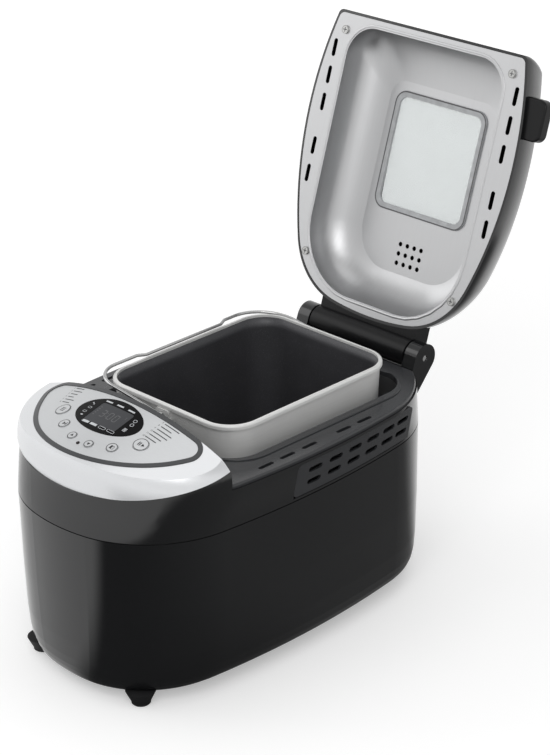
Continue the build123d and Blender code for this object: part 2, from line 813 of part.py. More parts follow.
with BuildPart() as motor:
    with BuildSketch(Plane.XY.offset(chassis_top_z + 4)):
        with Locations((0, motor_y)):
            RectangleRounded(motor_size, motor_size, 6.0)
    extrude(amount=46.0)
    add(disc(0, motor_y, 30.0, chassis_top_z, chassis_top_z + 60))
    add(disc(0, motor_y, 3.0 + running_gap, 0, chassis_z + 19), mode=Mode.SUBTRACT)

with BuildPart() as power_board:
    with BuildSketch(Plane.XY.offset(base_top_z + 6)):
        with Locations((0, 138.0)):
            Rectangle(72.0, 38.0)
    extrude(amount=1.6)
    with BuildSketch(Plane.XY.offset(base_top_z)):
        with Locations((-32, 122), (32, 122), (-32, 154), (32, 154)):
            Circle(2.5)
    extrude(amount=6.0)
    with BuildSketch(Plane.XY.offset(base_top_z + 7.6)):
        with Locations((-14, 138)):
            Rectangle(26.0, 24.0)
    extrude(amount=12.0)

# ---------------------------------------------------------------- lid
opened = math.radians(lid_open)
lid_plane = Plane(
    origin=(0, hinge_y, hinge_z), x_dir=(1, 0, 0), z_dir=(0, math.sin(opened), math.cos(opened))
)
flange_z = deck_z + lid_gap - hinge_z


def level(height):
    """Plane of the lid at a height above its flange; its Y is the closed lid's less the hinge's."""
    return lid_plane.offset(flange_z + height)


def lid_plan(inset):
    """Outline of the lid in its own plane: bowed sides and rear, straight front."""
    across = lid_side_radius - lid_half_width + inset
    front = lid_front_y - hinge_y + inset
    rear = lid_rear_y - hinge_y - inset
    with BuildSketch() as outline:
        with Locations(Location((-across, lid_widest_y - hinge_y, 0), (0, 0, 180))):
            Circle(lid_side_radius)
        with Locations((across, lid_widest_y - hinge_y)):
            Circle(lid_side_radius, mode=Mode.INTERSECT)
        with Locations((0, rear - lid_rear_radius)):
            Circle(lid_rear_radius, mode=Mode.INTERSECT)
        with Locations((0, front + 200)):
            Rectangle(400, 400, mode=Mode.INTERSECT)
        fillet(outline.vertices().group_by(Axis.Y)[0], lid_front_corner)
        fillet(outline.vertices().group_by(Axis.Y)[-1], lid_rear_corner)
    return outline.sketch


lid_sections = ((0.0, 0.0), (10.0, 0.8), (24.0, 5.0), (38.0, 11.5), (50.0, 20.0), (64.0, 34.0))
lid_top = lid_plane.location * Location(
    (0, lid_front_y - hinge_y, flange_z + lid_height), (90 + lid_slope, 0, 0)
)


def lid_stack(inset):
    """Rounded solid of the lid, flat on top before it is crowned."""
    with BuildPart() as stack:
        for height, narrowing in lid_sections:
            with BuildSketch(level(height)):
                add(lid_plan(narrowing - lid_lip + inset))
        loft()
    return stack.part


def lid_prism(width, length, corner, low, high):
    """Rounded block through the lid at the window."""
    with BuildPart() as prism:
        with BuildSketch(level(low)):
            with Locations((0, window_y - hinge_y)):
                RectangleRounded(width, length, corner)
        extrude(amount=high - low)
    return prism.part


lid_screws = ((-101.0, -80.5), (101.0, -80.5), (-91.5, 130.0), (91.5, 130.0))
lid_outer = lid_stack(0.0) & crown(lid_top, lid_crown, 0.0)
lid_inner = lid_stack(lid_wall) & crown(lid_top, lid_crown, lid_wall)

with BuildPart() as lid_shell:
    add(lid_outer)
    add(lid_inner, mode=Mode.SUBTRACT)
    with BuildPart() as screw_posts:
        with BuildSketch(level(sheet + 0.1)):
            for screw_x, screw_y in lid_screws:
                with Locations((screw_x, screw_y - hinge_y)):
                    Circle(4.5)
        extrude(amount=80)
        add(lid_outer, mode=Mode.INTERSECT)
    with BuildSketch(level(0)):
        for screw_x, screw_y in lid_screws:
            with Locations((screw_x, screw_y - hinge_y)):
                Circle(1.6 + running_gap)
    extrude(amount=10, mode=Mode.SUBTRACT)
    add(lid_prism(outer_window_width, outer_window_length, outer_window_corner, 20, 90), mode=Mode.SUBTRACT)

dome_sections = (
    (0.0, 94.0, -88.0, 159.0, 30.0, 65.0),
    (26.0, 91.5, -81.0, 152.0, 27.0, 58.0),
    (34.0, 83.0, -68.0, 143.0, 23.0, 50.0),
    (dome_depth, 64.0, -46.0, 130.0, 16.0, 38.0),
)


def dome(grow):
    """Solid of the dome pressed into the lid liner."""
    with BuildPart() as block:
        for height, half, front, rear, front_round, rear_round in dome_sections:
            rise = grow if height == dome_depth else 0.0
            with BuildSketch(level(height + rise)) as section:
                with Locations((0, (front + rear) / 2 - hinge_y)):
                    Rectangle(2 * (half + grow), rear - front + 2 * grow)
                fillet(section.vertices().group_by(Axis.Y)[0], front_round + grow)
                fillet(section.vertices().group_by(Axis.Y)[-1], rear_round + grow)
        loft()
    return block.part


with BuildPart() as lid_liner:
    with BuildSketch(level(0)):
        add(lid_plan(fit))
    extrude(amount=sheet)
    add(dome(sheet))
    add(dome(0.0), mode=Mode.SUBTRACT)
    add(lid_prism(window_width, window_length, 9.0, 20, 90), mode=Mode.SUBTRACT)
    with BuildSketch(level(-1)):
        for screw_x, screw_y in lid_screws:
            with Locations((screw_x, screw_y - hinge_y)):
                Circle(1.9)
        for slot_y in (-62.0, -36.0, -10.0, 32.0, 58.5):
            with Locations((-110.0, slot_y - hinge_y), (110.0, slot_y - hinge_y)):
                SlotOverall(17.0, 4.5, rotation=90)
        with Locations((0, 111.0 - hinge_y)):
            with GridLocations(8.6, 9.0, 4, 3):
                Circle(2.2)
    extrude(amount=90, mode=Mode.SUBTRACT)

glass_low = dome_depth + sheet
with BuildPart() as inner_glass:
    add(lid_prism(window_width + 10, window_length + 10, 12.0, glass_low, glass_low + 2))

with BuildPart() as window_gasket:
    add(lid_prism(window_width + 7, window_length + 7, 12.0, dome_depth - 1.5, dome_depth))
    add(lid_prism(window_width - 2 * fit, window_length - 2 * fit, 8.8, dome_depth, glass_low))
    add(lid_prism(window_width - 4, window_length - 4, 8.0, 0, 90), mode=Mode.SUBTRACT)

with BuildPart() as window_frame:
    add(lid_prism(outer_window_width - 4, outer_window_length - 4, 15.0, glass_low + 2, 90))
    add(crown(lid_top, lid_crown, 2.0), mode=Mode.INTERSECT)
    add(lid_prism(window_width + 4, window_length + 4, 11.0, 0, 90), mode=Mode.SUBTRACT)

with BuildPart() as outer_window:
    add(lid_prism(outer_window_width - 2 * fit, outer_window_length - 2 * fit, outer_window_corner - fit,
                  20, 90))
    add(crown(lid_top, lid_crown, 0.0), mode=Mode.INTERSECT)
    add(crown(lid_top, lid_crown, 2.0), mode=Mode.SUBTRACT)

screws = {}
for number, (screw_x, screw_y) in enumerate(lid_screws, 1):
    with BuildPart() as screw:
        with BuildSketch(level(0)):
            with Locations((screw_x, screw_y - hinge_y)):
                Circle(4.0)
        extrude(amount=-1.4)
        with BuildSketch(level(0)):
            with Locations((screw_x, screw_y - hinge_y)):
                Circle(1.6)
        extrude(amount=9)
    screws[f"lid_screw_{number}"] = screw.part

with BuildPart() as lid_grip:
    with BuildSketch(level(3)) as grip_outline:
        with Locations((124.0, -46.0 - hinge_y)):
            RectangleRounded(38.0, 38.0, 8.0)
    extrude(amount=11)
    fillet(lid_grip.edges().filter_by(Plane(lid_plane.location), reverse=False), 2.0)
    add(lid_outer, mode=Mode.SUBTRACT)

with BuildPart() as hinge_block:
    with BuildSketch(Plane(origin=(-hinge_half + 1, hinge_y, hinge_z), x_dir=lid_plane.y_dir,
                           z_dir=(1, 0, 0))) as hinge_profile:
        Circle(hinge_radius)
        with BuildLine():
            Polyline(
                (-30.0, flange_z + 0.5),
                (0, flange_z + 0.5),
                (0, hinge_radius),
                (-8.0, hinge_radius + 4.0),
                (-30.0, hinge_radius + 4.0),
                close=True,
            )
        make_face()
    extrude(amount=2 * hinge_half - 2)
    add(lid_outer, mode=Mode.SUBTRACT)
    with BuildSketch(Plane.YZ.offset(-100)):
        with Locations((hinge_y, hinge_z)):
            Circle(pin_radius + running_gap)
    extrude(amount=200, mode=Mode.SUBTRACT)

# ---------------------------------------------------------------- pieces and origin
pieces = {
    "lower_housing": lower_housing.part,
    "base_plate": base_plate.part,
    "cable_gland": cable_gland.part,
    **feet,
    "upper_housing": upper_housing.part,
    "vent_grille_left": vent_grille_left,
    "vent_grille_right": vent_grille_right,
    "hinge_pin": hinge_pin.part,
    "panel_trim": panel_trim.part,
    "panel_bezel": panel_bezel.part,
    "control_panel": control_panel.part,
    "display_window": display_window.part,
    "lcd_screen": lcd_screen.part,
    "status_led": status_led.part,
    **keys,
    "control_board": control_board.part,
    "deck": deck.part,
    "oven_liner": oven_liner.part,
    "heating_element": heating_element.part,
    **element_stands,
    "temperature_sensor": temperature_sensor.part,
    "pan_seat": pan_seat.part,
    "bread_pan": bread_pan.part,
    "pan_ears": pan_ears.part,
    "pan_base": pan_base.part,
    "pan_bush": pan_bush.part,
    "pan_handle": pan_handle.part,
    "paddle_shaft": paddle_shaft.part,
    "kneading_paddle": kneading_paddle.part,
    "drive_shaft": drive_shaft.part,
    "driver": driver.part,
    "drive_pulley": drive_pulley.part,
    "motor_pulley": motor_pulley.part,
    "drive_belt": drive_belt.part,
    "chassis": chassis.part,
    "bearing_housing": bearing_housing.part,
    "motor": motor.part,
    "power_board": power_board.part,
    "lid_shell": lid_shell.part,
    "lid_liner": lid_liner.part,
    "inner_glass": inner_glass.part,
    "window_gasket": window_gasket.part,
    "window_frame": window_frame.part,
    "outer_window": outer_window.part,
    **screws,
    "lid_grip": lid_grip.part,
    "hinge_block": hinge_block.part,
}

# The origin is the middle of the open machine's footprint, on the ground.
boxes = [piece.bounding_box() for piece in pieces.values()]
middle_x = (min(box.min.X for box in boxes) + max(box.max.X for box in boxes)) / 2
middle_y = (min(box.min.Y for box in boxes) + max(box.max.Y for box in boxes)) / 2
ground_z = min(box.min.Z for box in boxes)
print("origin", middle_x, middle_y, ground_z)

os.makedirs("parts", exist_ok=True)
for name, piece in pieces.items():
    placed = piece.moved(Location((-middle_x, -middle_y, -ground_z)))
    placed.label = name
    export_step(placed, f"parts/{name}.step")
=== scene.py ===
"""Bread machine with its lid open: finishes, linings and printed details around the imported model."""
import json
import math

import bpy
import numpy as np
from mathutils import Matrix, Vector
from mathutils.bvhtree import BVHTree


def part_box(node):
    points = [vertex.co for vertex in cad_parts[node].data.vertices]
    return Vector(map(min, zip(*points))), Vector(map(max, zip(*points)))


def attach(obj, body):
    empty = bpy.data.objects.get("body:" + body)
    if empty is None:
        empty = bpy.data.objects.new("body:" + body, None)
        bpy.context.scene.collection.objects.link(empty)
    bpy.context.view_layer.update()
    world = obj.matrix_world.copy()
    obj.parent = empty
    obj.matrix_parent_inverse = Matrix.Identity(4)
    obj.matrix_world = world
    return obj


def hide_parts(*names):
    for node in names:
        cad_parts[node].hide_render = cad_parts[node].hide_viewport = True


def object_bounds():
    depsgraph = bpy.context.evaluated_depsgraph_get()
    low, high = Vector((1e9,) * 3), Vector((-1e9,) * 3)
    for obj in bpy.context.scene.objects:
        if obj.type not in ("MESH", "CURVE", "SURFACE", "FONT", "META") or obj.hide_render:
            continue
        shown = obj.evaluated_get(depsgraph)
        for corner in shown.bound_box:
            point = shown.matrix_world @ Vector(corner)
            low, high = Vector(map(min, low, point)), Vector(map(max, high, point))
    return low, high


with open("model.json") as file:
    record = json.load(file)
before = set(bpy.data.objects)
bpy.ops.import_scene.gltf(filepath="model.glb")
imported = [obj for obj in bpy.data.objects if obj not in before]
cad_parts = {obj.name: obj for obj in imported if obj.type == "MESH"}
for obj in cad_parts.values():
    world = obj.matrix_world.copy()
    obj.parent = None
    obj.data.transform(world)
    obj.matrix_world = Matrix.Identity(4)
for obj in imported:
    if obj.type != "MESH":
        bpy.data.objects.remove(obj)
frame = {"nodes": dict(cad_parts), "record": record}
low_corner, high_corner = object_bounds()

bl_info = {
    "name": "Bread machine",
    "version": (1, 0, 0),
    "blender": (4, 5, 0),
    "location": "View3D > Sidebar > Bread machine",
    "description": "Finishes and details of a bread machine with an open lid",
    "category": "Object",
}

MM = 0.001

# ---------------------------------------------------------------- places taken from the frame


def corners(node):
    """Lowest and highest corners of a node, as vectors."""
    low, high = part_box(node)
    return Vector(low), Vector(high)


def middle(node):
    """Middle of a node's box."""
    low, high = corners(node)
    return (low + high) / 2


seat = middle("pan_seat")
across = seat.x
oven_y = seat.y
display = middle("lcd_screen")
panel_slope = math.radians(14.9)  # of the control panel's face
lid_open = math.radians(108.55)  # from the closed lid to the lid at rest
hair = 0.05  # millimetres between a thin piece and what it lies on

# ---------------------------------------------------------------- shader maths


class Value:
    """A socket, or a plain number, that can be used in arithmetic."""

    def __init__(self, graph, socket):
        self.graph = graph
        self.socket = socket

    def _maths(self, operation, first, second):
        return self.graph.node("ShaderNodeMath", {"operation": operation}, {0: first, 1: second})

    def __add__(self, other):
        return self._maths("ADD", self, other)

    def __sub__(self, other):
        return self._maths("SUBTRACT", self, other)

    def __rsub__(self, other):
        return self._maths("SUBTRACT", other, self)

    def __mul__(self, other):
        return self._maths("MULTIPLY", self, other)

    def __pow__(self, other):
        return self._maths("POWER", self, other)

    __radd__ = __add__
    __rmul__ = __mul__


class Graph:
    """The nodes of one material or of the world."""

    def __init__(self, tree):
        self.tree = tree
        tree.nodes.clear()

    def node(self, kind, settings=None, inputs=None, output=0):
        """Adds a node, sets its settings, then its sockets, and wraps the output asked for."""
        made = self.tree.nodes.new(kind)
        for key, value in (settings or {}).items():
            setattr(made, key, value)
        for key, value in (inputs or {}).items():
            socket = made.inputs[key]
            if isinstance(value, Value):
                self.tree.links.new(value.socket, socket)
            else:
                socket.default_value = value
        return Value(self, made.outputs[output]) if len(made.outputs) else made

    def place(self, scale=(1, 1, 1), turn=(0, 0, 0)):
        """Object coordinates, turned and then stretched."""
        here = self.node("ShaderNodeTexCoord", output="Object")
        return self.node("ShaderNodeMapping", {}, {"Vector": here, "Scale": scale, "Rotation": turn})

    def axes(self, kind="Object"):
        """The three coordinates of a kind, each as a value."""
        here = self.node("ShaderNodeTexCoord", output=kind)
        split = self.node("ShaderNodeSeparateXYZ", {}, {0: here})
        outputs = split.socket.node.outputs
        return [Value(self, outputs[index]) for index in range(3)]

    def rays(self):
        """Whether a ray shows a surface, straight or by gloss or glass, and whether it is a glossy one."""
        kinds = self.node("ShaderNodeLightPath").socket.node.outputs
        straight, glossy, through = (
            Value(self, kinds[f"Is {kind} Ray"]) for kind in ("Camera", "Glossy", "Transmission")
        )
        either = self.node("ShaderNodeMath", {"operation": "MAXIMUM"}, {0: glossy, 1: through})
        return self.node("ShaderNodeMath", {"operation": "MAXIMUM"}, {0: straight, 1: either}), glossy

    def noise(self, scale, detail=2.0, where=None):
        """Noise from 0 to 1."""
        where = where or self.place()
        return self.node("ShaderNodeTexNoise", {}, {"Vector": where, "Scale": scale, "Detail": detail})

    def between(self, value, low, high, new_low=0.0, new_high=1.0):
        """Smooth step of a value from one range to another."""
        return self.node(
            "ShaderNodeMapRange",
            {"interpolation_type": "SMOOTHSTEP"},
            {"Value": value, "From Min": low, "From Max": high, "To Min": new_low, "To Max": new_high},
        )

    def blend(self, factor, first, second):
        """Mix of two colours."""
        first = first if isinstance(first, Value) else (*first, 1.0)
        second = second if isinstance(second, Value) else (*second, 1.0)
        return self.node("ShaderNodeMix", {"data_type": "RGBA"}, {0: factor, 6: first, 7: second}, 2)

    def bump(self, height, strength, distance):
        """Normal from a height."""
        return self.node(
            "ShaderNodeBump", {}, {"Height": height, "Strength": strength, "Distance": distance}, "Normal"
        )

    def finish(self, **sockets):
        """Ends a material in one principled shader whose sockets are named with underscores."""
        inputs = {}
        for key, value in sockets.items():
            if isinstance(value, tuple) and len(value) == 3:
                value = (*value, 1.0)
            inputs[key.replace("_", " ")] = value
        shader = self.node("ShaderNodeBsdfPrincipled", {}, inputs, "BSDF")
        self.node("ShaderNodeOutputMaterial", {}, {"Surface": shader})


def material(name):
    """A new material and its empty graph."""
    made = bpy.data.materials.new(name)
    made.use_nodes = True
    return made, Graph(made.node_tree)


def shades(colour, spread):
    """Two colours, a little darker and a little lighter than one."""
    return tuple(c * (1 - spread) for c in colour), tuple(min(1.0, c * (1 + spread)) for c in colour)


# ---------------------------------------------------------------- finishes


def gloss_plastic(name, colour, roughness=0.16, specular=0.4, spread=0.12):
    """Polished moulded plastic: faint flow marks in the colour, fine wipe marks in the gloss."""
    made, g = material(name)
    dark, light = shades(colour, spread)
    flow = g.noise(9.0, 3.0)
    wipes = g.noise(220.0, 3.0, g.place((1, 1, 6)))
    ripple = g.noise(35.0, 1.0)
    g.finish(
        Base_Color=g.blend(flow, dark, light),
        Roughness=roughness + (wipes - 0.5) * 0.05 + (flow - 0.5) * 0.04,
        Specular_IOR_Level=specular,
        Normal=g.bump(ripple + wipes * 0.05, 0.04, 0.0006),
    )
    return made


def grained_plastic(name, colour, roughness=0.38, grain=0.12, specular=0.4):
    """Fine-grained moulded plastic."""
    made, g = material(name)
    dark, light = shades(colour, 0.1)
    pits = g.noise(2200.0, 2.0)
    cloud = g.noise(18.0, 3.0)
    g.finish(
        Base_Color=g.blend(cloud, dark, light),
        Roughness=roughness + (cloud - 0.5) * 0.08 + (pits - 0.5) * 0.08,
        Specular_IOR_Level=specular,
        Normal=g.bump(pits, grain, 0.0002),
    )
    return made


def rubber(name, colour):
    """Dull rubber with a dusty bloom."""
    made, g = material(name)
    dark, light = shades(colour, 0.3)
    dust = g.noise(130.0, 5.0)
    grit = g.noise(1500.0, 2.0)
    g.finish(
        Base_Color=g.blend(dust, dark, light),
        Roughness=0.72 + (dust - 0.5) * 0.15,
        Specular_IOR_Level=0.3,
        Normal=g.bump(grit, 0.2, 0.0002),
    )
    return made


def brushed_metal(name, colour, stretch, roughness=0.32, metallic=1.0, strength=0.12, turn=(0, 0, 0)):
    """Metal brushed one way: long fine lines in colour, gloss and height."""
    made, g = material(name)
    dark, light = shades(colour, 0.07)
    lines = g.noise(900.0, 3.0, g.place(stretch, turn))
    cloud = g.noise(14.0, 3.0)
    g.finish(
        Base_Color=g.blend(lines * 0.7 + cloud * 0.3, dark, light),
        Metallic=metallic,
        Roughness=roughness + (lines - 0.5) * 0.18 + (cloud - 0.5) * 0.06,
        Normal=g.bump(lines, strength, 0.0001),
    )
    return made


def plain_metal(name, colour, roughness=0.3, metallic=1.0, scale=60.0, strength=0.05):
    """Worked metal with light stains and scratches."""
    made, g = material(name)
    dark, light = shades(colour, 0.12)
    stain = g.noise(scale, 4.0)
    scratch = g.noise(1400.0, 2.0, g.place((1, 0.1, 1), (0.3, 0.4, 0.8)))
    g.finish(
        Base_Color=g.blend(stain, dark, light),
        Metallic=metallic,
        Roughness=roughness + (stain - 0.5) * 0.15 + (scratch - 0.5) * 0.08,
        Normal=g.bump(scratch, strength, 0.0001),
    )
    return made


def silver_lacquer(name, colour, roughness=0.3):
    """Silver lacquer on plastic: tiny metal flakes under a clear coat."""
    made, g = material(name)
    dark, light = shades(colour, 0.06)
    flakes = g.noise(5200.0, 1.0)
    cloud = g.noise(7.0, 2.0)
    g.finish(
        Base_Color=g.blend(flakes * 0.6 + cloud * 0.4, dark, light),
        Metallic=0.55,
        Roughness=roughness + (flakes - 0.5) * 0.1,
        Coat_Weight=0.25,
        Coat_Roughness=0.08,
        Normal=g.bump(flakes, 0.03, 0.0001),
    )
    return made


def nonstick_coat(name, colour, roughness=0.42):
    """Speckled nonstick coating with a soft sheen."""
    made, g = material(name)
    dark, light = shades(colour, 0.25)
    cloud = g.noise(25.0, 4.0)
    specks = g.between(g.noise(1500.0, 0.0), 0.7, 0.76)
    g.finish(
        Base_Color=g.blend(specks * 0.5, g.blend(cloud, dark, light), tuple(c * 2.2 for c in light)),
        Metallic=0.25,
        Roughness=roughness + (cloud - 0.5) * 0.12,
        Normal=g.bump(g.noise(700.0, 2.0), 0.06, 0.0002),
    )
    return made


def clear_glass(name, tint):
    """Thin clear pane: mostly see-through, with gloss, faint smears and a pale tint."""
    made, g = material(name)
    smear = g.noise(30.0, 4.0)
    pane = g.node("ShaderNodeBsdfTransparent", {}, {"Color": (*tint, 1.0)})
    gloss = g.node(
        "ShaderNodeBsdfPrincipled",
        {},
        {"Base Color": (*tint, 1.0), "Roughness": 0.04 + smear * 0.08, "Metallic": 0.0},
        "BSDF",
    )
    edge = g.node("ShaderNodeLayerWeight", {}, {"Blend": 0.25}, "Fresnel")
    mixed = g.node("ShaderNodeMixShader", {}, {0: edge * 0.5 + 0.1 + smear * 0.04, 1: pane, 2: gloss})
    g.node("ShaderNodeOutputMaterial", {}, {"Surface": mixed})
    made.surface_render_method = "BLENDED"
    return made


# ---------------------------------------------------------------- surfaces


def grid_faces(rows, columns, wrap_columns=False):
    """Quads of a grid of points, with its last column joined to its first where asked."""
    index = np.arange(rows * columns).reshape(rows, columns)
    if wrap_columns:
        index = np.concatenate([index, index[:, :1]], axis=1)
    quads = np.stack([index[:-1, :-1], index[:-1, 1:], index[1:, 1:], index[1:, :-1]], axis=-1)
    return quads.reshape(-1, 4)


def lay(name, points, faces, finish, body, replaced=(), sharp=None, wall=0.0):
    """Puts points and faces into a piece of one finish that rides on a body and may replace nodes."""
    mesh = bpy.data.meshes.new(name)
    faces = faces if isinstance(faces, list) else np.asarray(faces).tolist()
    mesh.from_pydata(np.asarray(points, float).tolist(), [], faces)
    mesh.polygons.foreach_set("use_smooth", np.ones(len(mesh.polygons), bool))
    if sharp is not None:
        mesh.set_sharp_from_angle(angle=math.radians(sharp))
    mesh.update()
    piece = bpy.data.objects.new(name, mesh)
    bpy.context.scene.collection.objects.link(piece)
    mesh.materials.append(finishes[finish])
    if wall:
        solid = piece.modifiers.new("wall", "SOLIDIFY")
        solid.thickness = wall
        solid.offset = -1.0
    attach(piece, body)
    if replaced:
        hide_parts(*replaced)
    return piece


def gather(patches):
    """Joins (points, faces) pairs into one pair."""
    points, faces, start = [], [], 0
    for some_points, some_faces in patches:
        points.append(some_points)
        faces.extend([start + index for index in face] for face in some_faces)
        start += len(some_points)
    return np.concatenate(points), faces


def rounded(half_width, half_length, corner, count=8):
    """Rounded rectangle as four corner arcs: the corner's centre plus its radius at an even angle."""
    turn = np.linspace(0, np.pi / 2, count)
    angles = np.concatenate([turn + quarter * np.pi / 2 for quarter in range(4)])
    side = np.repeat([1, -1, -1, 1], count)
    end = np.repeat([1, 1, -1, -1], count)
    x = side * (half_width - corner) + corner * np.cos(angles)
    y = end * (half_length - corner) + corner * np.sin(angles)
    return np.stack([x, y], axis=1)


def surface_of(nodes):
    """Search tree of the faces of some nodes."""
    points, faces = [], []
    for name in nodes:
        mesh = frame["nodes"][name].data
        start = len(points)
        points.extend(vertex.co.copy() for vertex in mesh.vertices)
        faces.extend([start + index for index in polygon.vertices] for polygon in mesh.polygons)
    return BVHTree.FromPolygons(points, faces)


def dropped(flat, nodes, centre, lift=hair):
    """Flat points, in millimetres about a centre, let down onto nodes and held off by a hair."""
    tree = surface_of(nodes)
    places = []
    flat = flat * (1, math.cos(panel_slope))
    for x, y in flat:
        start = Vector((centre.x + x * MM, centre.y + y * MM, high_corner[2] + 1.0))
        hit = tree.ray_cast(start, Vector((0, 0, -1)))[0]
        places.append(hit + Vector((0, 0, lift * MM)) if hit else None)
    known = [place for place in places if place]
    spare = min(place.z for place in known)
    return np.array(
        [
            place if place else (centre.x + x * MM, centre.y + y * MM, spare)
            for place, (x, y) in zip(places, flat)
        ]
    )


def band(outer, inner):
    """Flat ring between two closed outlines with as many points."""
    return np.concatenate([outer, inner]), grid_faces(2, len(outer), wrap_columns=True)


def shift(patch, x, y, turn=0.0):
    """A patch turned and then moved in its own plane."""
    points, faces = patch
    c, s = math.cos(turn), math.sin(turn)
    return points @ np.array([[c, s], [-s, c]]) + (x, y), faces


def bar(width, height, step=3.0):
    """Plain bar about zero, cut along its length so that it can follow a crown."""
    columns = max(2, int(width / step) + 2)
    x = np.linspace(-width / 2, width / 2, columns)
    points = np.concatenate([np.stack([x, np.full(columns, side * height / 2)], axis=1) for side in (-1, 1)])
    return points, grid_faces(2, columns)


def ring(half_width, half_length, corner, line):
    """Outlined rounded rectangle about zero with a line of even width."""
    inner = rounded(half_width - line, half_length - line, max(corner - line, 0.05))
    return band(rounded(half_width, half_length, corner), inner)


def arrow(size):
    """Filled triangle that points along X."""
    turn = np.array([0.0, 2.0, 4.0]) * np.pi / 3
    return np.stack([np.cos(turn), np.sin(turn)], axis=1) * size, np.array([[0, 1, 2]])


def counter(number, height, line):
    """Seven-segment numeral about zero: each segment is a bar, lit as the numeral needs."""
    lit = ("abcdef", "bc", "abged", "abgcd", "fgbc", "afgcd", "afgedc", "abc", "abcdefg", "abfgcd")[number]
    half, quarter = height / 2, height / 4
    flat, tall = bar(quarter * 1.7, line), bar(line, quarter * 1.75)
    where = {
        "a": (flat, 0, half), "g": (flat, 0, 0), "d": (flat, 0, -half), "b": (tall, quarter, quarter),
        "c": (tall, quarter, -quarter), "e": (tall, -quarter, -quarter), "f": (tall, -quarter, quarter),
    }
    return gather([shift(*where[segment]) for segment in lit])


def lid_axes():
    """Directions out of the open lid's liner and along it, away from the hinge."""
    sine, cosine = math.sin(lid_open), math.cos(lid_open)
    return np.array([0, -sine, -cosine]), np.array([0, -cosine, sine])


def digits(text, height):
    """Numerals from the plain built-in face, as one flat patch with its lower left corner at zero."""
    curve = bpy.data.curves.new("digits", "FONT")
    curve.body = text
    curve.size = height * 1.4
    curve.resolution_u = 3
    holder = bpy.data.objects.new("digits", curve)
    mesh = bpy.data.meshes.new_from_object(holder)
    mesh.calc_loop_triangles()
    points = np.array([vertex.co[:2] for vertex in mesh.vertices], float).reshape(-1, 2)
    faces = np.array([triangle.vertices[:] for triangle in mesh.loop_triangles], int).reshape(-1, 3)
    bpy.data.objects.remove(holder)
    bpy.data.curves.remove(curve)
    bpy.data.meshes.remove(mesh)
    return points, faces


# ---------------------------------------------------------------- sizes and colours a user may change


def colour_of(name, description, default):
    """A colour that a user may change."""
    return bpy.props.FloatVectorProperty(
        name=name, description=description, default=default, subtype="COLOR", size=3, min=0.0, max=1.0
    )


class BreadMachineColours(bpy.types.PropertyGroup):
    """Colours of the main finishes"""

    body: colour_of("Body", "Polished housing and lid shell", (0.008, 0.0083, 0.009))
    deck: colour_of("Deck", "Deck, louvred inserts and hinge", (0.034, 0.035, 0.038))
    silver: colour_of("Silver", "Lacquered crescent round the panel", (0.72, 0.73, 0.745))
    plate: colour_of("Plate", "Brushed control panel", (0.58, 0.59, 0.6))
    bezel: colour_of("Bezel", "Dark frame of the control panel", (0.034, 0.036, 0.039))
    liner: colour_of("Liner", "Satin metal inside the lid", (0.48, 0.482, 0.488))
    pan: colour_of("Pan", "Satin outside of the bread pan", (0.76, 0.76, 0.75))
    coating: colour_of("Coating", "Nonstick inside of the pan", (0.055, 0.055, 0.06))


class BreadMachineStage(bpy.types.PropertyGroup):
    """Camera and even light"""

    azimuth: bpy.props.FloatProperty(
        name="Azimuth", description="Camera direction from the control end", default=math.radians(45.544),
        subtype="ANGLE", unit="ROTATION",
    )
    elevation: bpy.props.FloatProperty(
        name="Elevation", description="Camera height angle", default=math.radians(24.868),
        subtype="ANGLE", unit="ROTATION",
    )
    roll: bpy.props.FloatProperty(
        name="Roll", description="Camera tilt", default=math.radians(-1.137), subtype="ANGLE", unit="ROTATION"
    )
    distance: bpy.props.FloatProperty(
        name="Distance", description="Camera distance from its aim", default=2.282, subtype="DISTANCE",
        unit="LENGTH",
    )
    aim: bpy.props.FloatVectorProperty(
        name="Aim", description="Point that the camera looks at",
        default=(across - 0.067446, oven_y + 0.099041, 0.16337),
        subtype="TRANSLATION", unit="LENGTH",
    )
    lens: bpy.props.FloatProperty(
        name="Lens", description="Focal length in millimetres", default=158.64, unit="CAMERA"
    )
    daylight: bpy.props.FloatProperty(
        name="Daylight", description="Strength of the even light from all round", default=0.5, min=0.0
    )


# ---------------------------------------------------------------- finishes by the name of their slot

finishes = {}


